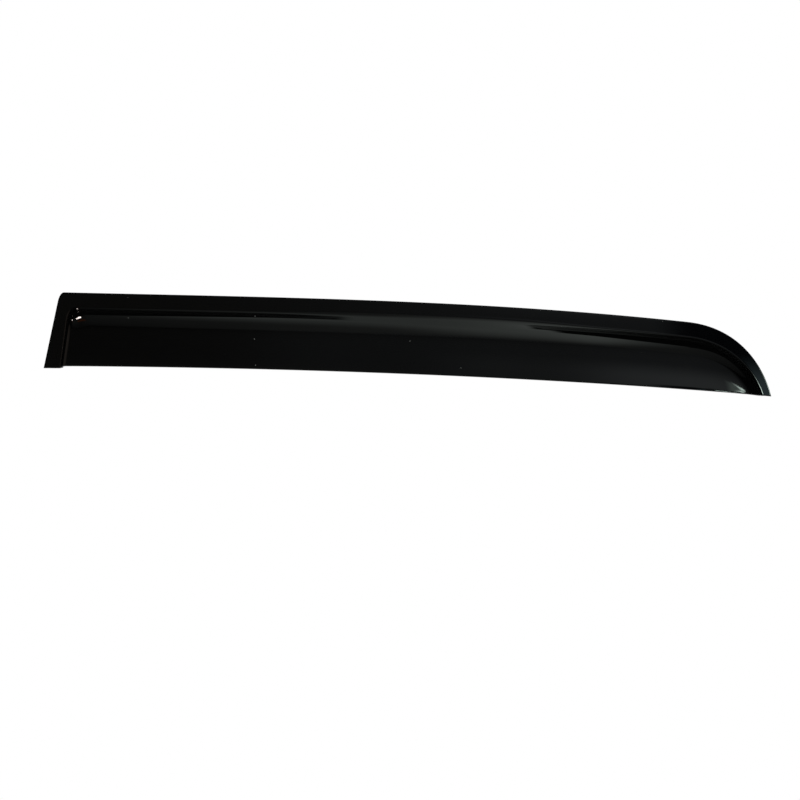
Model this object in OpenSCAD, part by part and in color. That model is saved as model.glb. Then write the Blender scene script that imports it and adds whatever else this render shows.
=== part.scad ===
// Stick-on rain deflector for a car's rear door window, moulded in one piece from smoked acrylic.
// A flat flange runs round the straight end, the top and the nose. Inside it the wall steps out
// from the door and turns over a wide shoulder into a gently crowned body, which ends in a free edge.
// X runs along the window, +Y points into the door and +Z is up. The flange is stuck on at y = 0.

/* [Strip] */
// Overall length, from the foot of the straight end to the tip of the nose
length = 800; // [740:5:880]
// Thickness of the acrylic
thickness = 3; // [2.4:0.1:3.6]
// Break on every outer edge
edge_break = 0.6; // [0.2:0.1:0.8]

/* [Straight end] */
// Height of the straight end, foot to top corner
end_height = 83.5; // [78:0.5:90]
// Lean of the straight end from upright, in degrees
end_lean = 12; // [6:1:16]
// Reach of the rounded top corner of the straight end, along the top edge
corner_along = 4.5; // [3:0.5:8]
// Reach of that corner down the straight end
corner_down = 10; // [3:0.5:12]
// Width of the flange at the top of the straight end
end_flange_w = 10.2; // [9:0.2:13]
// Lean of the wall at the straight end, which widens the flange towards its foot, in degrees
end_wall_lean = 7.5; // [5:0.5:12]
// Tilt of that wall, in degrees
end_wall_tilt = 83; // [70:1:84]
// Radius at the foot of that wall
end_root_r = 2.5; // [2:0.5:5]
// Radius at the top of that wall
end_shoulder_r = 8; // [4.5:0.5:9]
// Spread of the turn where the two walls meet, seen from the front
inner_corner = 13; // [6:1:18]
// How far the foot of the end flange reaches below the free edge
foot_drop = 2; // [0:0.5:4]

/* [Top edge] */
// Fall of the first handle of the top edge's curve below the corner
top_fall_1 = 5.3; // [3:0.1:8]
// Fall of the second handle
top_fall_2 = 7.8; // [5:0.1:14]
// Fall of the top edge where the nose begins
top_fall_end = 32.6; // [28:0.1:38]

/* [Free edge] */
// Fall of the first handle of the free edge's curve below its straight end
free_fall_1 = 1.4; // [0:0.1:6]
// Fall of the second handle
free_fall_2 = 10.8; // [6:0.1:16]
// Fall of the free edge at the tip of the nose
free_fall_tip = 33.1; // [28:0.1:38]

/* [Nose] */
// Length of the nose
nose_length = 92; // [80:1:110]
// Reach of the curve's handle where the nose begins
nose_handle = 60; // [45:1:65]
// Reach of the curve's handle at the tip
tip_handle = 31; // [20:1:40]
// Fall of the nose at its tip, in degrees from level
tip_angle = 77; // [70:1:82]
// Width of the flange at the tip
tip_flange_w = 8; // [6:0.5:12]

/* [Section] */
// Width of the flange along the top
flange_w = 15.4; // [14:0.2:17]
// Radius at the foot of the wall
root_r = 3; // [2:0.5:4]
// Steepest tilt of the wall, in degrees
wall_tilt = 70; // [60:1:72]
// Radius of the shoulder
shoulder_r = 25; // [22:1:28]
// Straight run between the two arcs of the wall where it is steepest, measured across the strip
wall_run = 0.3; // [0.2:0.1:3]
// Tilt of the body where the shoulder ends, in degrees
body_tilt = 13; // [9:1:18]
// Radius of the body's crown
body_r = 269; // [240:5:600]

/* [Soft stretch] */
// Place along X where the step is softest
soft_x = 33; // [-60:1:120]
// Length over which the step softens on either side
soft_spread = 150; // [90:2:220]
// Width of the flange there
soft_flange_w = 12; // [11:0.2:15]
// Radius at the foot of the wall there
soft_root_r = 10; // [4:0.5:12]
// Tilt of the wall there, in degrees
soft_tilt = 44; // [40:1:56]

/* [Hidden] */

// Number of stations along the straight end's wall, its fan, the top edge and the nose
wall_columns = 10;
fan_columns = 6;
top_columns = 22;
nose_columns = 16;
// Number of steps over the root, the shoulder and the body
root_rows = 3;
shoulder_rows = 6;
body_rows = 4;
// Reach of the fan of sections at the straight end, and of the last section at the tip
fan_reach = 150;
tip_reach = 48;
// Length over which the foot of the end flange comes up to the free edge
foot_blend = 4;
// Small step for slopes
tiny = 0.01;

// Corner of the straight end before rounding, on the front of the strip
corner_x = -length / 2 + end_height * tan(end_lean);
nose_x = length / 2 - nose_length;
corner_z = top_z(corner_x);
// Point of the top edge on the line of the straight end's wall, and where the fan ends
wall_x = corner_x + end_flange_w / cos(end_lean);
wall_z = top_z(wall_x);
fan_end_x = corner_x + fan_reach;
free_z = corner_z - end_height + foot_drop;
tip = [length / 2, free_z - free_fall_tip];
// Distance from the rim at which the shoulder would run level, and that at which the body takes over
shoulder_reach = flange_w + wall_run + (root_r + shoulder_r) * sin(wall_tilt);
body_start = shoulder_reach - shoulder_r * sin(body_tilt);

function unit(v) = v / norm(v);
function mix(a, b, t) = a + (b - a) * t;
function clamp01(t) = min(max(t, 0), 1);
function smooth(t) = let (c = clamp01(t)) c * c * (3 - 2 * c);
// Point of a cubic curve with four handles, or its height where the handles are numbers
function cubic(p, t) =
    pow(1 - t, 3) * p[0] + 3 * t * pow(1 - t, 2) * p[1] + 3 * t * t * (1 - t) * p[2] + pow(t, 3) * p[3];

// Height of the top edge, which passes half a flange above the origin
function top_fall(x) =
    cubic([0, top_fall_1, top_fall_2, top_fall_end], (x - corner_x) / (nose_x - corner_x));
function top_z(x) = flange_w / 2 + top_fall(0) - top_fall(x);
function top_slope(x) = (top_z(x + tiny) - top_z(x - tiny)) / (2 * tiny);

// Height of the free edge
function bottom_z(x) =
    free_z - cubic([0, free_fall_1, free_fall_2, free_fall_tip], (x + length / 2) / length);

// The nose leaves the top edge without a kink and ends on the tip
nose_start = [nose_x, top_z(nose_x)];
nose_curve = [
    nose_start,
    nose_start + nose_handle * unit([1, top_slope(nose_x)]),
    tip + tip_handle * [-cos(tip_angle), sin(tip_angle)],
    tip
];

// A station is a place on the rim: X along the top edge, then on past nose_x round the nose
function nose_share(s) = (s - nose_x) / nose_length;
function rim(s) = s <= nose_x ? [s, top_z(s)] : cubic(nose_curve, nose_share(s));
function inward(s) =
    let (along = unit(s <= nose_x ? [1, top_slope(s)] : rim(s + tiny) - rim(s - tiny)))
    [along[1], -along[0]];

// Sections follow the straight end at its edge and the wall beside it, then stand square to the rim,
// and swing round the nose until the last one lies along the free edge
function lean(s) =
    let (by_wall = mix(tan(end_lean), tan(end_wall_lean), smooth((s - corner_x) / (wall_x - corner_x))))
    mix(by_wall, -top_slope(s), smooth((s - wall_end_x) / (fan_end_x - wall_end_x)));
function end_foot(s) = foot_drop * (1 - smooth((s - wall_x) / foot_blend));
function foot_x(s) = s - lean(s) * (top_z(s) - bottom_z(s) + end_foot(s));
function foot(s) =
    let (x = s <= nose_x ? foot_x(s) : mix(foot_x(nose_x), length / 2 - tip_reach, nose_share(s)))
    [x, bottom_z(x) - end_foot(s)];

// Share of the soft stretch at a station, and how much the nose has narrowed the flange
function soft(s) = exp(-pow((s - soft_x) / soft_spread, 4));
function narrowing(s) = (flange_w - tip_flange_w) * smooth(nose_share(s));
function root_start(s) = mix(flange_w, soft_flange_w, soft(s));
function root_radius(s) = mix(root_r, soft_root_r, soft(s));
function tilt(s) = mix(wall_tilt, soft_tilt, soft(s));

// Rise of the outer face above the flange at distance q from the rim: flange, root arc,
// straight wall, shoulder arc and crown arc, each tangent to the next
function rise(q, s) =
    let (
        a = tilt(s),
        r = root_radius(s),
        q1 = root_start(s),
        q2 = q1 + r * sin(a),
        q3 = shoulder_reach - shoulder_r * sin(a),
        rise2 = r * (1 - cos(a)),
        rise3 = rise2 + (q3 - q2) * tan(a),
        rise4 = rise3 + shoulder_r * (cos(body_tilt) - cos(a)),
        crown_q = body_start + body_r * sin(body_tilt)
    )
    q <= q1 ? 0 :
    q <= q2 ? r - sqrt(r * r - pow(q - q1, 2)) :
    q <= q3 ? rise2 + (q - q2) * tan(a) :
    q <= body_start ? rise3 + sqrt(pow(shoulder_r, 2) - pow(shoulder_reach - q, 2)) - shoulder_r * cos(a) :
    rise4 + sqrt(pow(body_r, 2) - pow(crown_q - q, 2)) - body_r * cos(body_tilt);

// The end wall climbs over distance d from its own line to the height h that the section has there,
// with its own two arcs. Where h is low the arcs meet before the wall is at its full tilt.
end_arcs = end_root_r + end_shoulder_r;
function end_tilt(h) = min(end_wall_tilt, acos(max(1 - h / end_arcs, -1)));
function end_wall(d, h) =
    let (
        a = end_tilt(h),
        d1 = end_root_r * sin(a),
        straight = h - end_arcs * (1 - cos(a)),
        d2 = d1 + straight / tan(a),
        d3 = d2 + end_shoulder_r * sin(a)
    )
    h <= 0 || d <= 0 ? 0 :
    d >= d3 ? h :
    d <= d1 ? end_root_r - sqrt(pow(end_root_r, 2) - d * d) :
    d <= d2 ? end_root_r * (1 - cos(a)) + (d - d1) * tan(a) :
    h - end_shoulder_r + sqrt(pow(end_shoulder_r, 2) - pow(d3 - d, 2));
end_h = rise(end_height - foot_drop, corner_x);
end_run = end_arcs * sin(end_wall_tilt) + (end_h - end_arcs * (1 - cos(end_wall_tilt))) / tan(end_wall_tilt);
wall_end_x = wall_x + end_run / cos(end_wall_lean);

// Both distances draw back where they are alike, which rounds the turn between the two walls
function drawn_back(q, d, s) =
    let (a = q - root_start(s), near = max(inner_corner - abs(a - d), 0))
    near * near / (4 * inner_corner) * (1 - smooth(min(a, d) / (2 * inner_corner)));
function height(q, d, s) =
    let (e = drawn_back(q, d, s))
    end_wall(d - e, rise(q - e, s));

// Stations from the straight end to the tip, close together where the end wall climbs
stations = concat(
    [for (d = [0, edge_break, corner_along / 2, corner_along]) corner_x + d / cos(end_lean)],
    [for (k = [0:wall_columns]) mix(wall_x, wall_end_x, k / wall_columns)],
    [for (k = [1:fan_columns]) mix(wall_end_x, fan_end_x, pow(k / fan_columns, 2))],
    [for (k = [1:top_columns]) mix(fan_end_x, nose_x, k / top_columns)],
    [for (k = [1:nose_columns - 1]) nose_x + nose_length * k / nose_columns],
    [length / 2 - edge_break, length / 2]
);

// Distances from the rim of the rows at a station. They are those of the full flange,
// so that a narrower one starts part of the way in
function rows(s, q_foot) =
    let (a = tilt(s), q0 = narrowing(s), q1 = root_start(s), r = root_radius(s))
    concat(
        [q0, q0 + edge_break, mix(q0, q1, 1 / 4), mix(q0, q1, 1 / 2)],
        [for (k = [0:root_rows]) q1 + r * sin(a * k / root_rows)],
        [for (k = [0:shoulder_rows]) shoulder_reach - shoulder_r * sin(mix(a, body_tilt, k / shoulder_rows))],
        [for (k = [1:body_rows]) mix(body_start, q_foot, k / (body_rows + 1))],
        [q_foot - edge_break, q_foot]
    );
row_count = len(rows(0, end_height));
column_count = len(stations);

// Rounds the top corner of the straight end by carrying the rectangle in it onto a quarter of an oval
function corner_shift(d, q) =
    d >= corner_along || q >= corner_down ? [0, 0] :
    let (a = 1 - d / corner_along, b = 1 - q / corner_down)
    [corner_along * a * (1 - sqrt(1 - b * b / 2)), corner_down * b * (1 - sqrt(1 - a * a / 2))];

// Distances from the slanting edge of the straight end and from the line of its wall
function end_distance(p) =
    (p[0] - corner_x) * cos(end_lean) + (corner_z - p[1]) * sin(end_lean);
function wall_distance(p) =
    (p[0] - wall_x) * cos(end_wall_lean) + (wall_z - p[1]) * sin(end_wall_lean);

// A point of the skin at one row: the outer face, or the inner one a thickness behind it.
// On the outer edges both faces draw in by the edge break
function skin(s, ray, m, q, on_edge, inner) =
    let (
        step = (q - narrowing(s)) / (ray * m),
        p = rim(s) + ray * step,
        d = wall_distance(p),
        shift = corner_shift(end_distance(p), q),
        place = p + [shift[0] / cos(end_lean), 0] + ray / (ray * m) * shift[1],
        slope_q = (height(q + tiny, d, s) - height(q - tiny, d, s)) / (2 * tiny),
        slope_d = (height(q, d + tiny, s) - height(q, d - tiny, s)) / (2 * tiny),
        slope = slope_q * m + slope_d * [cos(end_wall_lean), -sin(end_wall_lean)],
        out = unit([-slope[0], -1, -slope[1]]),
        depth = (on_edge ? edge_break : 0) + (inner ? thickness - (on_edge ? 2 * edge_break : 0) : 0)
    )
    [place[0], -thickness - height(q, d, s), place[1]] - depth * out;

function column(i, inner) =
    let (
        s = stations[i],
        end_column = i == 0 || i == column_count - 1,
        reach = foot(s) - rim(s),
        ray = unit(reach),
        m = inward(s),
        row = rows(s, narrowing(s) + norm(reach) * (ray * m))
    )
    [for (j = [0:row_count - 1])
        skin(s, ray, m, row[j], end_column || j == 0 || j == row_count - 1, inner)];

// Two triangles on four corners, and a strip of them between two runs of points
function quad(a, b, c, d) = [[a, c, b], [a, d, c]];
function strip(a, b) = [for (k = [0:len(a) - 2]) each quad(a[k], a[k + 1], b[k + 1], b[k])];
function outer_column(i) = [for (j = [0:row_count - 1]) i * row_count + j];
function outer_row(j) = [for (i = [0:column_count - 1]) i * row_count + j];
function behind(run) = [for (k = run) k + row_count * column_count];

module visor() {
    last_row = row_count - 1;
    last_column = column_count - 1;
    faces = [for (list = concat(
        [for (i = [0:last_column - 1]) strip(outer_column(i), outer_column(i + 1))],
        [for (i = [0:last_column - 1]) strip(behind(outer_column(i + 1)), behind(outer_column(i)))],
        [strip(behind(outer_column(0)), outer_column(0))],
        [strip(outer_column(last_column), behind(outer_column(last_column)))],
        [strip(outer_row(0), behind(outer_row(0)))],
        [strip(behind(outer_row(last_row)), outer_row(last_row))]
    )) each list];
    points = [for (inner = [false, true]) for (i = [0:last_column]) each column(i, inner)];
    color([0.05, 0.05, 0.06]) polyhedron(points, faces, convexity = 6);
}

visor();
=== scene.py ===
# A stick-on rain deflector for a car's rear door window, in smoked acrylic, lit for its picture.
# The strip is worked out in millimetres on the part's own axes: X along the window from the
# straight end to the nose, +Y into the door, +Z up. The room round it is in metres.
import bpy
import numpy as np
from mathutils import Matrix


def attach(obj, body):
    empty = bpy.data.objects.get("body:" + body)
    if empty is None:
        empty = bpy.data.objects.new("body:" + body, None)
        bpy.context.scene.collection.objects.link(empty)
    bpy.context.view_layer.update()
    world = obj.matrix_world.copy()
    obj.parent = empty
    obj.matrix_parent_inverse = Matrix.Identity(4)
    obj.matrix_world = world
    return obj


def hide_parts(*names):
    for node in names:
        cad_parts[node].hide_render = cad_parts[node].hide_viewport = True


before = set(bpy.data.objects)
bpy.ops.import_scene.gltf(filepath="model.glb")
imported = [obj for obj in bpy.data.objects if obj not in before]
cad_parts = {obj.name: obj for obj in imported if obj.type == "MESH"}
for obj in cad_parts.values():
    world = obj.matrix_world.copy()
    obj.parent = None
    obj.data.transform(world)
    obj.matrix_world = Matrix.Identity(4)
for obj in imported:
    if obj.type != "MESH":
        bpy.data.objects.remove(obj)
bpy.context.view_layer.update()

metre = 1000  # millimetres
tiny = 0.01  # step for slopes, in millimetres
least = 1e-9  # stands for no height at all where a formula divides by it


def sin(degrees):
    return np.sin(np.radians(degrees))


def cos(degrees):
    return np.cos(np.radians(degrees))


def tan(degrees):
    return np.tan(np.radians(degrees))


def mix(a, b, share):  # a where the share is 0 and b where it is 1
    return a + (b - a) * share


def smooth(t):  # 3t² - 2t³, held at 0 below 0 and at 1 above 1
    t = np.clip(t, 0, 1)
    return t * t * (3 - 2 * t)


def cubic(handles, t):  # the four handles weighted by (1-t)³, 3t(1-t)², 3t²(1-t) and t³
    a, b, c, d = handles
    return (1 - t) ** 3 * a + 3 * t * (1 - t) ** 2 * b + 3 * t * t * (1 - t) * c + t ** 3 * d


def circle(radius, aside):  # a circle's height over its middle, at a distance aside: sqrt(r² - a²)
    return np.sqrt(np.maximum(radius ** 2 - aside ** 2, 0))


def slope(shape, at):  # change of a shape over a small step to both sides, for each millimetre
    return (shape(at + tiny) - shape(at - tiny)) / (2 * tiny)


def run(start, end, steps):  # equal steps from start to end, without the start itself
    return np.linspace(start, end, steps + 1)[1:]


def quarter(steps):  # 0 to 1 as a quarter circle's 1 - cos, close together at the start
    return 1 - np.cos(np.linspace(0, np.pi / 2, steps + 1))


# The strip: a flange round the straight end, the top and the nose, a wall that steps out from it,
# a shoulder and a crowned body down to the free edge. Sizes in millimetres, angles in degrees.
strip = dict(
    length=800, thickness=3,
    edgeRound=0.7,  # radius of the outer edges
    endHeight=83.5, endLean=12,  # straight end
    cornerAlong=4.5, cornerDown=10,  # oval of its top corner
    endFlange=10.2, endWallLean=7.5, endWallTilt=83, endRoot=2.5, endShoulder=8,  # wall beside it
    innerCorner=13,  # turn between that wall and the long one
    footDrop=2, footBlend=4,  # the end flange's foot, below the free edge
    topFall=(0, 5.3, 7.8, 32.6), freeFall=(0, 1.4, 10.8, 33.1),  # handles of the two long edges
    noseLength=92, noseHandle=60, tipHandle=31, tipAngle=77, tipFlange=8,
    tipReach=48,  # from the tip back to the foot of the last section
    flange=15.4, root=3, wallTilt=70, wallRun=0.3, shoulder=25, bodyTilt=13, crown=269,  # section
    softX=33, softSpread=150, softFlange=12, softRoot=10, softTilt=44,  # where the step is softest
    fanReach=150,  # sections turn from the end's lean to square with the rim over this length
    edgeSteps=6, flangeSteps=14, wallSteps=56, bodySteps=14,  # rows of the mesh
    cornerSteps=18, endWallSteps=36, fanSteps=60, topSteps=220, noseSteps=120,  # columns
    wallCrowding=1.15, fanCrowding=1.6,  # powers that draw rows and columns to a run's start
)

tipX = strip["length"] / 2
noseX = tipX - strip["noseLength"]
cornerX = -strip["length"] / 2 + strip["endHeight"] * tan(strip["endLean"])
wallX = cornerX + strip["endFlange"] / cos(strip["endLean"])  # the end wall's line, at the top edge
fanEndX = cornerX + strip["fanReach"]

# Distances from the rim at which the shoulder would be level, and at which the body takes over
shoulderReach = (strip["flange"] + strip["wallRun"]
                 + (strip["root"] + strip["shoulder"]) * sin(strip["wallTilt"]))
bodyStart = shoulderReach - strip["shoulder"] * sin(strip["bodyTilt"])


def topZ(x):  # top edge: half a flange above the origin at mid-length, falling by a cubic
    share = (x - cornerX) / (noseX - cornerX)
    middle = -cornerX / (noseX - cornerX)
    return strip["flange"] / 2 + cubic(strip["topFall"], middle) - cubic(strip["topFall"], share)


freeZ = topZ(cornerX) - strip["endHeight"] + strip["footDrop"]  # free edge at the straight end
tipZ = freeZ - strip["freeFall"][-1]


def bottomZ(x):  # free edge: a cubic from the straight end to the tip
    return freeZ - cubic(strip["freeFall"], (x + strip["length"] / 2) / strip["length"])


def noseShare(s):  # 0 where the nose starts and 1 at the tip
    return (s - noseX) / strip["noseLength"]


# Rim at station s: the top edge, then a cubic that leaves it without a kink and ends on the tip
def rim(s):
    noseSlope = slope(topZ, noseX)
    start = np.array([1, noseSlope]) / np.hypot(1, noseSlope) * strip["noseHandle"]
    end = strip["tipHandle"] * np.array([-cos(strip["tipAngle"]), sin(strip["tipAngle"])])
    handlesX = [noseX, noseX + start[0], tipX + end[0], tipX]
    handlesZ = [topZ(noseX), topZ(noseX) + start[1], tipZ + end[1], tipZ]
    onTop, share = s <= noseX, noseShare(s)
    return (np.where(onTop, s, cubic(handlesX, share)),
            np.where(onTop, topZ(s), cubic(handlesZ, share)))


# Direction into the strip, square to the rim: the rim's own direction turned by a right angle
def inward(s):
    x1, z1 = rim(s + tiny)
    x0, z0 = rim(s - tiny)
    alongX = np.where(s <= noseX, 1, x1 - x0)
    alongZ = np.where(s <= noseX, slope(topZ, s), z1 - z0)
    size = np.hypot(alongX, alongZ)
    return alongZ / size, -alongX / size


def soft(s):  # share of the soft stretch: a flat-topped bell, e to the minus (away / spread)⁴
    return np.exp(-((s - strip["softX"]) / strip["softSpread"]) ** 4)


def narrowing(s):  # how much of the flange the nose has taken away, growing smoothly to the tip
    return (strip["flange"] - strip["tipFlange"]) * smooth(noseShare(s))


def rootStart(s):  # the wall's root starts nearer to the rim where the step is soft
    return mix(strip["flange"], strip["softFlange"], soft(s))


# Rise of the outer face at distance q from the rim: flange, root arc, straight wall,
# shoulder arc and crown arc, each tangent to the next
def rise(q, s):
    shoulder, crown, bodyTilt = strip["shoulder"], strip["crown"], strip["bodyTilt"]
    tilt = mix(strip["wallTilt"], strip["softTilt"], soft(s))
    root = mix(strip["root"], strip["softRoot"], soft(s))
    rootFrom = rootStart(s)
    rootTo, wallTo = rootFrom + root * sin(tilt), shoulderReach - shoulder * sin(tilt)
    rootRise = root * (1 - cos(tilt))
    wallRise = rootRise + (wallTo - rootTo) * tan(tilt)
    shoulderRise = wallRise + shoulder * (cos(bodyTilt) - cos(tilt))
    crownTop = bodyStart + crown * sin(bodyTilt)
    rootArc = root - circle(root, q - rootFrom)
    wall = rootRise + (q - rootTo) * tan(tilt)
    shoulderArc = wallRise - shoulder * cos(tilt) + circle(shoulder, shoulderReach - q)
    crownArc = shoulderRise - crown * cos(bodyTilt) + circle(crown, crownTop - q)
    return np.select([q <= rootFrom, q <= rootTo, q <= wallTo, q <= bodyStart],
                     [0 * q, rootArc, wall, shoulderArc], crownArc)


# The end wall climbs over distance d from its own line to the height h of the section there, with
# its own two arcs. Where h is low the arcs meet before the wall is at its full tilt.
def endWall(d, h):
    root, shoulder = strip["endRoot"], strip["endShoulder"]
    h = np.maximum(h, least)
    tilt = np.degrees(np.arccos(np.maximum(1 - h / (root + shoulder), -1)))
    tilt = np.minimum(strip["endWallTilt"], tilt)
    rootTo = root * sin(tilt)
    wallTo = rootTo + (h - (root + shoulder) * (1 - cos(tilt))) / tan(tilt)
    top = wallTo + shoulder * sin(tilt)
    rootArc = root - circle(root, d)
    wall = root * (1 - cos(tilt)) + (d - rootTo) * tan(tilt)
    shoulderArc = h - shoulder + circle(shoulder, top - d)
    return np.select([d <= 0, d >= top, d <= rootTo, d <= wallTo], [0 * d, h, rootArc, wall],
                     shoulderArc)


# Height of the outer face at distance q from the rim and d from the end wall's line. Where the
# distances a and d from the roots of the two walls are alike, both draw back by
# (turn - |a - d|)² / (4·turn). That rounds the corner between the walls, and fades out at twice
# the turn.
def height(q, d, s):
    turn = strip["innerCorner"]
    a = q - rootStart(s)
    near = np.maximum(turn - np.abs(a - d), 0)
    back = near ** 2 / (4 * turn) * (1 - smooth(np.minimum(a, d) / (2 * turn)))
    return endWall(d - back, rise(q - back, s))


# The end wall's run at full height: both arcs at its tilt, and the straight between them
endArcs = strip["endRoot"] + strip["endShoulder"]
endRise = rise(strip["endHeight"] - strip["footDrop"], cornerX)
endRun = (endArcs * sin(strip["endWallTilt"])
          + (endRise - endArcs * (1 - cos(strip["endWallTilt"]))) / tan(strip["endWallTilt"]))
wallEndX = wallX + endRun / cos(strip["endWallLean"])


def endFoot(s):  # how far the foot of the end flange reaches below the free edge
    return strip["footDrop"] * (1 - smooth((s - wallX) / strip["footBlend"]))


# Sections follow the straight end at its edge and the wall beside it, then stand square to the rim
def footX(s):
    toWall = smooth((s - cornerX) / (wallX - cornerX))
    byWall = mix(tan(strip["endLean"]), tan(strip["endWallLean"]), toWall)
    lean = mix(byWall, -slope(topZ, s), smooth((s - wallEndX) / (fanEndX - wallEndX)))
    return s - lean * (topZ(s) - bottomZ(s) + endFoot(s))


# Foot of the section at station s: on the free edge, and swinging round with the nose
def foot(s):
    x = np.where(s <= noseX, footX(s), mix(footX(noseX), tipX - strip["tipReach"], noseShare(s)))
    return x, bottomZ(x) - endFoot(s)


# How far a point lies past a slanting line that comes down from the top edge at lineX
def pastLine(x, z, lineX, lean):
    return (x - lineX) * cos(lean) + (topZ(lineX) - z) * sin(lean)


# Stations along the rim, close together where an edge is rounded and where the end wall climbs.
# The quarter at the tip runs backwards, without the point that the nose has given already.
def stations():
    radius = strip["edgeRound"]
    edge = cornerX + radius * quarter(strip["edgeSteps"]) / cos(strip["endLean"])
    corner = run(edge[-1], wallX, strip["cornerSteps"])
    wall = run(wallX, wallEndX, strip["endWallSteps"])
    fan = mix(wallEndX, fanEndX, run(0, 1, strip["fanSteps"]) ** strip["fanCrowding"])
    top = run(fanEndX, noseX, strip["topSteps"])
    nose = run(noseX, tipX - radius, strip["noseSteps"])
    tip = tipX - radius * quarter(strip["edgeSteps"])[-2::-1]
    return np.concatenate([edge, corner, wall, fan, top, nose, tip])[:, None]


# Distances from the rim of the rows at each station, over the edge, the flange, the step, the body
# and the free edge. Round the nose they start after the part of the flange that it takes away.
def rowDistances(s, footQ):
    radius = strip["edgeRound"]
    edge = radius * quarter(strip["edgeSteps"])
    startQ, rootQ = narrowing(s), rootStart(s)
    flange = mix(startQ + radius, rootQ, run(0, 1, strip["flangeSteps"]))
    step = mix(rootQ, bodyStart, run(0, 1, strip["wallSteps"]) ** strip["wallCrowding"])
    body = mix(bodyStart, footQ - radius, run(0, 1, strip["bodySteps"]))
    return np.concatenate([startQ + edge, flange, step, body, footQ - edge[-2::-1]], axis=1)


# A rectangle in the corner goes onto a quarter of an oval: its distances a, b from the inner
# sides, as shares of those sides, become a·sqrt(1 - b²/2) and b·sqrt(1 - a²/2)
def cornerShift(d, q):
    along, down = strip["cornerAlong"], strip["cornerDown"]
    a, b = np.clip(1 - d / along, 0, 1), np.clip(1 - q / down, 0, 1)
    inside = (a > 0) & (b > 0)
    return (np.where(inside, along * a * (1 - np.sqrt(1 - b * b / 2)), 0),
            np.where(inside, down * b * (1 - np.sqrt(1 - a * a / 2)), 0))


# The strip's two faces. Each section is a ray from the rim to the foot. The outer face stands at
# thickness + height in front of the door, the inner one a thickness behind it along the normal.
# Near an edge both draw in by a quarter circle, r - sqrt(r² - (r - e)²) at distance e from it.
def stripFaces():
    s = stations()
    rimX, rimZ = rim(s)
    inX, inZ = inward(s)
    endX, endZ = foot(s)
    reach = np.hypot(endX - rimX, endZ - rimZ)
    rayX, rayZ = (endX - rimX) / reach, (endZ - rimZ) / reach
    squareness = rayX * inX + rayZ * inZ
    q = rowDistances(s, narrowing(s) + reach * squareness)
    along = (q - narrowing(s)) / squareness
    x, z = rimX + rayX * along, rimZ + rayZ * along

    wallLean = strip["endWallLean"]
    d = pastLine(x, z, wallX, wallLean)
    slopeQ = slope(lambda at: height(at, d, s), q)
    slopeD = slope(lambda at: height(q, at, s), d)
    slopeX = slopeQ * inX + slopeD * cos(wallLean)
    slopeZ = slopeQ * inZ - slopeD * sin(wallLean)
    out = np.stack([-slopeX, -np.ones_like(slopeX), -slopeZ], axis=-1)
    out /= np.linalg.norm(out, axis=-1, keepdims=True)

    radius = strip["edgeRound"]
    fromRim = q - narrowing(s)
    fromEnd = pastLine(x, z, cornerX, strip["endLean"])
    fromFree = (z - bottomZ(x) + endFoot(s)) / np.hypot(1, slope(bottomZ, x))
    fromEdge = np.clip(np.minimum(np.minimum(fromRim, fromEnd), fromFree), 0, radius)
    drop = (radius - circle(radius, radius - fromEdge))[..., None]

    shiftX, shiftQ = cornerShift(fromEnd, q)
    x = x + shiftX / cos(strip["endLean"]) + rayX / squareness * shiftQ
    z = z + rayZ / squareness * shiftQ
    face = np.stack([x, -strip["thickness"] - height(q, d, s), z], axis=-1)
    return face - drop * out, face - (strip["thickness"] - drop) * out


def gridQuads(index):  # the four points of every face on a grid of numbered points
    return np.stack([index[:-1, :-1], index[1:, :-1], index[1:, 1:], index[:-1, 1:]], axis=-1)


# Two sheets of points on one grid become a closed shell: both faces and a band along each edge.
# Columns run along X and rows downwards, so each grid is turned over to make its faces point
# outwards, and the inner sheet runs backwards to face the other way.
def shellQuads(columns, rows):
    outer = np.arange(columns * rows).reshape(columns, rows)
    inner = outer + outer.size
    grids = [outer, inner[::-1], [inner[0], outer[0]], [outer[-1], inner[-1]],
             [outer[:, 0], inner[:, 0]], [inner[:, -1], outer[:, -1]]]
    return np.concatenate([gridQuads(np.array(grid).T).reshape(-1, 4) for grid in grids])


def makeMesh(name, points, quads):  # points in metres
    mesh = bpy.data.meshes.new(name)
    mesh.from_pydata(points.reshape(-1, 3), [], quads.reshape(-1, 4).tolist())
    mesh.polygons.foreach_set("use_smooth", np.ones(len(mesh.polygons), dtype=bool))
    mesh.validate()
    piece = bpy.data.objects.new(name, mesh)
    bpy.context.scene.collection.objects.link(piece)
    return piece


def makeStrip():
    faces = np.stack(stripFaces()) / metre
    columns, rows = faces.shape[1:3]
    piece = makeMesh("acrylicStrip", faces, shellQuads(columns, rows))
    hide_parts("visor")
    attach(piece, "root")
    print("strip made:", columns, "by", rows, "points,", 2 * len(piece.data.polygons), "triangles")
    return piece


def colour(code):  # sRGB hex to linear, by the two parts of the standard curve
    channels = np.array([int(code[i:i + 2], 16) for i in (1, 3, 5)]) / 255
    linear = np.where(channels <= 0.04045, channels / 12.92, ((channels + 0.055) / 1.055) ** 2.4)
    return (*linear.tolist(), 1)


# Adds a node: settings are its own, sockets get fixed values, and links come from other nodes
def addNode(tree, kind, links=None, sockets=None, **settings):
    node = tree.nodes.new(kind)
    for name, value in settings.items():
        setattr(node, name, value)
    for name, value in (sockets or {}).items():
        node.inputs[name].default_value = value
    for name, source in (links or {}).items():
        tree.links.new(source, node.inputs[name])
    return node


def newMaterial(name):
    material = bpy.data.materials.new(name)
    material.use_nodes = True
    material.node_tree.nodes.clear()
    return material, material.node_tree


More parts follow.
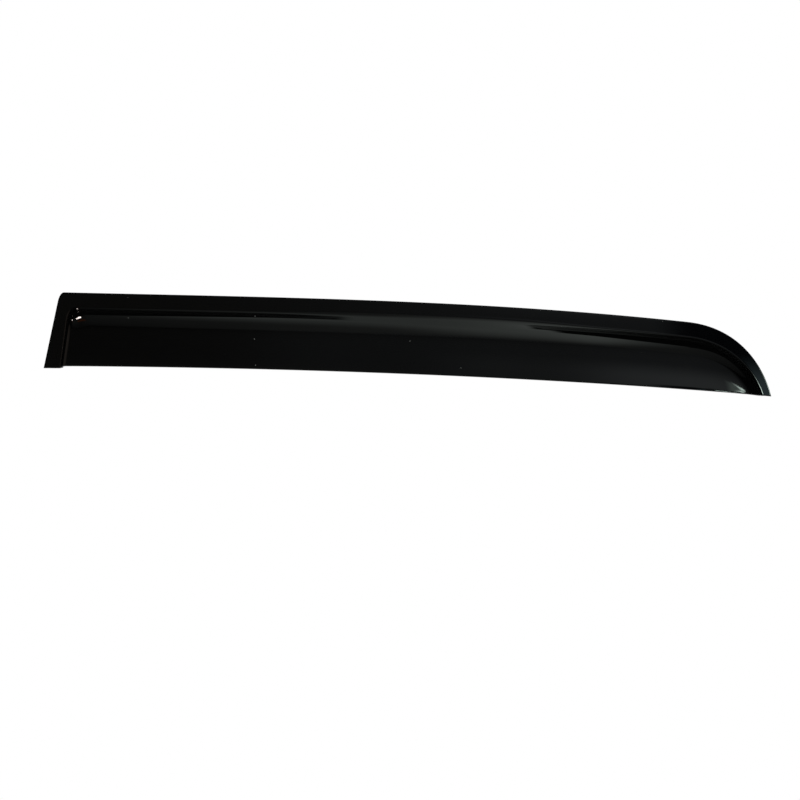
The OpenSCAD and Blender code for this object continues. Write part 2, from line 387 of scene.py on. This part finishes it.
# Moulded acrylic, tinted so dark that it looks black: a deep, even gloss at the index of acrylic.
# The sheet has a slight roll left by the mould, and dust has settled on it as small pale specks,
# drawn a little coarser than they are so that they show. Widths and heights in millimetres.
acrylic = dict(
    tint="#020202", tintFaded="#040404", index=1.49,
    rollWidth=45, rollHeight=0.008, rollDetail=1, rollBreakup=0.4,  # the mould's slow roll
    hazeWidth=6, hazeDetail=3, hazeRange=(0.3, 0.7), roughness=(0.02, 0.045),  # duller patches
    dustSpacing=28, dustRadius=0.5, dustShare=0.16, dust="#8a8c88",  # specks in a share of cells
)
colourA, colourB, mixedColour = 6, 7, 2  # where a Mix node has its colours, in and out


def makeAcrylic():
    material, tree = newMaterial("smokedAcrylicMoulded")
    place = addNode(tree, "ShaderNodeTexCoord").outputs["Object"]
    roll = addNode(tree, "ShaderNodeTexNoise", {"Vector": place},
                   {"Scale": metre / acrylic["rollWidth"], "Detail": acrylic["rollDetail"],
                    "Roughness": acrylic["rollBreakup"]})
    bump = addNode(tree, "ShaderNodeBump", {"Height": roll.outputs["Fac"]},
                   {"Strength": 1.0, "Distance": acrylic["rollHeight"] / metre})
    haze = addNode(tree, "ShaderNodeTexNoise", {"Vector": place},
                   {"Scale": metre / acrylic["hazeWidth"], "Detail": acrylic["hazeDetail"]})
    hazeLow, hazeHigh = acrylic["hazeRange"]
    glossiest, dullest = acrylic["roughness"]
    roughness = addNode(tree, "ShaderNodeMapRange", {"Value": haze.outputs["Fac"]},
                        {"From Min": hazeLow, "From Max": hazeHigh,
                         "To Min": glossiest, "To Max": dullest})
    tint = addNode(tree, "ShaderNodeMix", {"Factor": haze.outputs["Fac"]},
                   {colourA: colour(acrylic["tint"]), colourB: colour(acrylic["tintFaded"])},
                   data_type="RGBA")

    # dust: one speck in some of the cells of a flat pattern seen square to the door
    apart = addNode(tree, "ShaderNodeSeparateXYZ", {"Vector": place})
    flat = addNode(tree, "ShaderNodeCombineXYZ", {"X": apart.outputs["X"], "Y": apart.outputs["Z"]})
    cells = addNode(tree, "ShaderNodeTexVoronoi", {"Vector": flat.outputs["Vector"]},
                    {"Scale": metre / acrylic["dustSpacing"]}, voronoi_dimensions="2D")
    cellColour = addNode(tree, "ShaderNodeSeparateColor", {"Color": cells.outputs["Color"]})
    chosen = addNode(tree, "ShaderNodeMath", {0: cellColour.outputs["Red"]},
                     {1: acrylic["dustShare"]}, operation="LESS_THAN")
    radius = addNode(tree, "ShaderNodeMath", {0: cellColour.outputs["Green"]},
                     {1: acrylic["dustRadius"] / acrylic["dustSpacing"]}, operation="MULTIPLY")
    near = addNode(tree, "ShaderNodeMath",
                   {0: cells.outputs["Distance"], 1: radius.outputs["Value"]},
                   operation="LESS_THAN")
    speck = addNode(tree, "ShaderNodeMath",
                    {0: chosen.outputs["Value"], 1: near.outputs["Value"]}, operation="MULTIPLY")
    dusted = addNode(tree, "ShaderNodeMix",
                     {"Factor": speck.outputs["Value"], colourA: tint.outputs[mixedColour]},
                     {colourB: colour(acrylic["dust"])}, data_type="RGBA")
    dulled = addNode(tree, "ShaderNodeMath",
                     {0: speck.outputs["Value"], 1: roughness.outputs["Result"]},
                     operation="MAXIMUM")

    shader = addNode(tree, "ShaderNodeBsdfPrincipled",
                     {"Base Color": dusted.outputs[mixedColour],
                      "Roughness": dulled.outputs["Value"], "Normal": bump.outputs["Normal"]},
                     {"IOR": acrylic["index"]})
    addNode(tree, "ShaderNodeOutputMaterial", {"Surface": shader.outputs["BSDF"]})
    print("acrylic made")
    return material


# The photograph's view: level and square to the door, with the strip above the middle. It is in
# millimetres, and its distance and width are taken at the flange's outer face.
viewpoint = dict(
    middle=(-8.15, -100.3),  # X and Z at the middle of the picture
    distance=1900, width=879.3,
    sensor=36, sight=50000,
)


def makeCamera():
    data = bpy.data.cameras.new("camera")
    data.sensor_width = viewpoint["sensor"]
    data.lens = viewpoint["sensor"] * viewpoint["distance"] / viewpoint["width"]
    data.clip_end = viewpoint["sight"] / metre
    camera = bpy.data.objects.new("camera", data)
    x, z = viewpoint["middle"]
    camera.location = (x / metre, -(viewpoint["distance"] + strip["thickness"]) / metre, z / metre)
    camera.rotation_euler = (np.pi / 2, 0, 0)
    bpy.context.scene.collection.objects.link(camera)
    bpy.context.scene.camera = camera
    print("camera made")


# The room is plain white to the eye, in gloss and through glass. As light on matt surfaces it is
# a little weaker.
world = dict(white="#ffffff", shown=1.0, light=0.7)


def makeWorld():
    sky = bpy.data.worlds.new("whiteRoom")
    bpy.context.scene.world = sky
    sky.use_nodes = True
    tree = sky.node_tree
    tree.nodes.clear()
    rays = addNode(tree, "ShaderNodeLightPath").outputs
    seen = rays["Is Camera Ray"]
    for ray in ("Is Glossy Ray", "Is Transmission Ray"):
        either = addNode(tree, "ShaderNodeMath", {0: seen, 1: rays[ray]}, operation="MAXIMUM")
        seen = either.outputs["Value"]
    strength = addNode(tree, "ShaderNodeMapRange", {"Value": seen},
                       {"To Min": world["light"], "To Max": world["shown"]})
    background = addNode(tree, "ShaderNodeBackground", {"Strength": strength.outputs["Result"]},
                         {"Color": colour(world["white"])})
    addNode(tree, "ShaderNodeOutputWorld", {"Surface": background.outputs["Background"]})


# A plain pale floor below the picture. It fades into the white round it, and keeps the shadow.
floor = dict(
    height=-1.25, fade=0.9, colour="#f4f4f2",
    rings=(0.01, 1.38, 2.3), steps=96,  # radii of the mesh's rings, and the faces in each
)


def makeFloor():  # each ring is its radius times cos and sin of the angle round it
    rings, steps = floor["rings"], floor["steps"]
    angle = np.linspace(0, 2 * np.pi, steps + 1)[:-1]
    radius, angle = np.meshgrid(rings, angle, indexing="ij")
    points = np.stack([radius * np.cos(angle), radius * np.sin(angle),
                       np.full_like(radius, floor["height"])], axis=-1)
    index = np.arange(radius.size).reshape(radius.shape)
    closed = np.concatenate([index, index[:, :1]], axis=1)
    piece = makeMesh("floor", points, gridQuads(closed))

    material, tree = newMaterial("paleFloor")
    place = addNode(tree, "ShaderNodeTexCoord").outputs["Object"]
    level = addNode(tree, "ShaderNodeVectorMath", {0: place}, {1: (1, 1, 0)}, operation="MULTIPLY")
    far = addNode(tree, "ShaderNodeVectorMath", {0: level.outputs["Vector"]}, operation="LENGTH")
    edge = addNode(tree, "ShaderNodeMapRange", {"Value": far.outputs["Value"]},
                   {"From Min": rings[-1] - floor["fade"], "From Max": rings[-1]},
                   interpolation_type="SMOOTHSTEP")
    paint = addNode(tree, "ShaderNodeBsdfDiffuse", sockets={"Color": colour(floor["colour"])})
    clear = addNode(tree, "ShaderNodeBsdfTransparent")
    mixed = addNode(tree, "ShaderNodeMixShader",
                    {"Fac": edge.outputs["Result"], 1: paint.outputs["BSDF"],
                     2: clear.outputs["BSDF"]})
    addNode(tree, "ShaderNodeOutputMaterial", {"Surface": mixed.outputs["Shader"]})
    piece.data.materials.append(material)


# What the gloss mirrors. Each card is flat and stands at centre, spans width along across and
# height along rise, and fades to nothing over the margins given for its left, right, lower and
# upper edge. A dark card hides what is behind it.
facing = dict(across=(1, 0, 0), rise=(0, 0, 1))
overhead = dict(across=(1, 0, 0), rise=(0, 1, 0))
cards = dict(
    # dim walls in front, for the even grey of the flange and the body
    frontWall=dict(facing, centre=(-0.4, -2.6, -0.4), width=8, height=3.66,
                   colour="#e8e7dc", strength=0.039, fade=(0, 0, 0, 0.2)),
    frontFoot=dict(facing, centre=(-0.4, -2.59, -0.8), width=8, height=2.8,
                   colour="#e8e7dc", strength=0.064, fade=(0, 0, 0, 0.42)),
    # light that grows along the body to the nose, and dark cards that keep parts of it black
    frontGlow=dict(facing, centre=(1.94, -2.58, 0.35), width=5.8, height=2.97,
                   colour="#dde5ea", strength=0.2, fade=(2.0, 4.7, 0.5, 0.82)),
    lowGlow=dict(facing, centre=(1.395, -2.5, 0.536), width=2.76, height=0.88,
                 colour="#dde4e6", strength=0.54, fade=(0.86, 1.3, 0.07, 0.45)),
    lowDark=dict(facing, centre=(0.925, -2.45, 0.173), width=0.615, height=0.486,
                 colour="#101218", strength=2.4, fade=(0.11, 0.33, 0.05, 0.17)),
    noseDark=dict(facing, centre=(1.5, -2.45, 0.28), across=(1, 0, 0.25), width=1.13, height=0.5,
                  colour="#101218", strength=2.4, fade=(0.1, 0.1, 0.05, 0.04)),
    # the blue on the flange by the tip
    tipGlow=dict(facing, centre=(0.905, -2.44, -0.08), width=0.17, height=0.2,
                 colour="#c4e2ea", strength=0.8, fade=(0.03, 0.01, 0.02, 0.1)),
    # overhead, for the broad band in the middle and the shoulder beside it
    ceiling=dict(overhead, centre=(2.33, -2.4, 2.3), width=8.4, height=4.4,
                 colour="#e6ece8", strength=0.278, fade=(2.4, 9.8, 0.065, 0.5)),
    softbox=dict(overhead, centre=(0.483, -1.764, 2.2), width=1.054, height=4.66,
                 colour="#e6f0ea", strength=0.97, fade=(0.657, 0.484, 3.467, 0.2)),
    softboxSide=dict(overhead, centre=(0.058, -0.775, 2.22), rise=(-0.415, 1, 0), width=1.567,
                     height=3.083, colour="#e6f0ea", strength=0.49, fade=(0.83, 0.56, 2.69, 0.455)),
    # dark beams below them, which cut the band to its shape
    beam=dict(overhead, centre=(0.71, 0.25, 2.18), across=(0.58, -0.8, 0), width=0.99, height=1.5,
              colour="#101214", strength=0.4, fade=(0.08, 0.02, 0.03, 0.1)),
    noseBeam=dict(overhead, centre=(1.59, 0.075, 2.17), across=(1.22, 0.55, 0), width=1.34,
                  height=1.5, colour="#101214", strength=0.4, fade=(0.02, 0.1, 0.05, 0.1)),
    sideBeam=dict(overhead, centre=(-0.886, 0.269, 2.1), rise=(0.883, 1, 0), width=1.3, height=1.0,
                  colour="#101214", strength=0.4, fade=(0.1, 0.135, 0.05, 0.1)),
    # the bright facet above the tip, its upper edge, and the thin line at the root beside the tip
    window=dict(facing, centre=(1.79, -2.42, 0.237), across=(1, 0, -0.21), width=0.68, height=0.8,
                colour="#eafff4", strength=1.15, fade=(0.25, 0.03, 0.3, 0.006)),
    windowEdge=dict(facing, centre=(1.88, -2.41, 0.625), across=(1, 0, -0.21), width=0.572,
                    height=0.03, colour="#eafff4", strength=12, fade=(0.45, 0.08, 0.008, 0.008)),
    sideWindow=dict(facing, centre=(1.48, -2.4, 0.18), across=(1, 0, 0.45), width=0.8, height=0.34,
                    colour="#eafff4", strength=30, fade=(0.08, 0.1, 0.06, 0.25)),
    # low in front, where only other views mirror it
    lowFront=dict(facing, centre=(0, -2.3, -1.35), width=8, height=1.8,
                  colour="#e8e6e0", strength=0.5, fade=(1, 1, 0.5, 0.6)),
    # warm light from the left on the end wall, and the glints in the inside corner
    leftWall=dict(facing, centre=(-2.0, -1.9, 0.3), across=(0.6, -0.8, 0), width=2.9, height=2.4,
                  colour="#d8c8ba", strength=0.34, fade=(0.5, 1.6, 0.3, 0.6)),
    warmLamp=dict(overhead, centre=(-1.12, -0.72, 2.2), width=0.24, height=0.42,
                  colour="#fff0ea", strength=40, fade=(0.08, 0.08, 0.1, 0.1)),
    warmGlow=dict(overhead, centre=(-1.0, -1.5, 2.2), width=0.3, height=0.6,
                  colour="#ff9050", strength=0.3, fade=(0.1, 0.1, 0.1, 0.1)),
)


# Share of the card's light at each point: a smooth rise over the margin beside every edge
def fadeShare(u, v, card):
    share = np.ones_like(u)
    fromEdges = (u, card["width"] - u, v, card["height"] - v)
    for distance, margin in zip(fromEdges, card["fade"]):
        if margin:
            share = share * smooth(distance / margin)
    return share


def showInGlossOnly(piece):
    piece.visible_camera = False
    piece.visible_diffuse = False
    piece.visible_transmission = False
    piece.visible_shadow = False


def makeCard(name, card, steps=72):  # its corner, plus u along across and v along rise
    u, v = np.meshgrid(np.linspace(0, card["width"], steps), np.linspace(0, card["height"], steps),
                       indexing="ij")
    across, rise = (np.array(card[k]) / np.linalg.norm(card[k]) for k in ("across", "rise"))
    corner = np.array(card["centre"]) - across * card["width"] / 2 - rise * card["height"] / 2
    points = corner + u[..., None] * across + v[..., None] * rise
    piece = makeMesh(name, points, gridQuads(np.arange(u.size).reshape(u.shape)))
    glow = piece.data.attributes.new("glow", "FLOAT", "POINT")
    glow.data.foreach_set("value", fadeShare(u, v, card).ravel())

    material, tree = newMaterial(name + "Light")
    share = addNode(tree, "ShaderNodeAttribute", attribute_name="glow")
    light = addNode(tree, "ShaderNodeEmission",
                    sockets={"Color": colour(card["colour"]), "Strength": card["strength"]})
    clear = addNode(tree, "ShaderNodeBsdfTransparent")
    mixed = addNode(tree, "ShaderNodeMixShader",
                    {"Fac": share.outputs["Fac"], 1: clear.outputs["BSDF"],
                     2: light.outputs["Emission"]})
    addNode(tree, "ShaderNodeOutputMaterial", {"Surface": mixed.outputs["Shader"]})
    piece.data.materials.append(material)
    showInGlossOnly(piece)


# A dark tent beyond the cards keeps the white room out of the gloss on the front. It is a ball
# with an opening behind the strip, between two bearings counted from -Y round to +X and up to an
# angle above level, all in degrees.
tent = dict(radius=5, opening=(135, 195), openingTop=40, steps=96, colour="#12181a", strength=0.1)


def makeTent():  # radius times sin and cos of the bearing and of the climb above level
    first, last = tent["opening"]
    steps = tent["steps"]
    bearing, climb = np.meshgrid(np.linspace(last - 360, last, 2 * steps + 1),
                                 np.linspace(-90, 90, steps + 1), indexing="ij")
    points = tent["radius"] * np.stack([sin(bearing) * cos(climb), -cos(bearing) * cos(climb),
                                        sin(climb)], axis=-1)
    openPart = (bearing[:-1, :-1] >= first) & (climb[:-1, :-1] < tent["openingTop"])
    quads = gridQuads(np.arange(bearing.size).reshape(bearing.shape))
    piece = makeMesh("tent", points, quads[~openPart])

    material, tree = newMaterial("tentCloth")
    light = addNode(tree, "ShaderNodeEmission",
                    sockets={"Color": colour(tent["colour"]), "Strength": tent["strength"]})
    addNode(tree, "ShaderNodeOutputMaterial", {"Surface": light.outputs["Emission"]})
    piece.data.materials.append(material)
    showInGlossOnly(piece)


# A wide soft lamp overhead gives the strip its share of light from above and the floor its shadow.
# Its power is in watts, and the gloss doesn't mirror it.
lamp = dict(place=(-0.3, -0.8, 2.6), size=2.4, power=22)


def makeLamp():
    data = bpy.data.lights.new("softLamp", "AREA")
    data.size, data.energy = lamp["size"], lamp["power"]
    light = bpy.data.objects.new("softLamp", data)
    light.location = lamp["place"]
    light.visible_glossy = False
    light.visible_camera = False
    bpy.context.scene.collection.objects.link(light)


acrylicStrip = makeStrip()
acrylicStrip.data.materials.append(makeAcrylic())
makeCamera()
makeWorld()
makeFloor()
makeLamp()
makeTent()
for name, card in cards.items():
    makeCard(name, card)
print("room and lights made:", len(cards), "cards")

bpy.context.scene.view_settings.view_transform = "Standard"
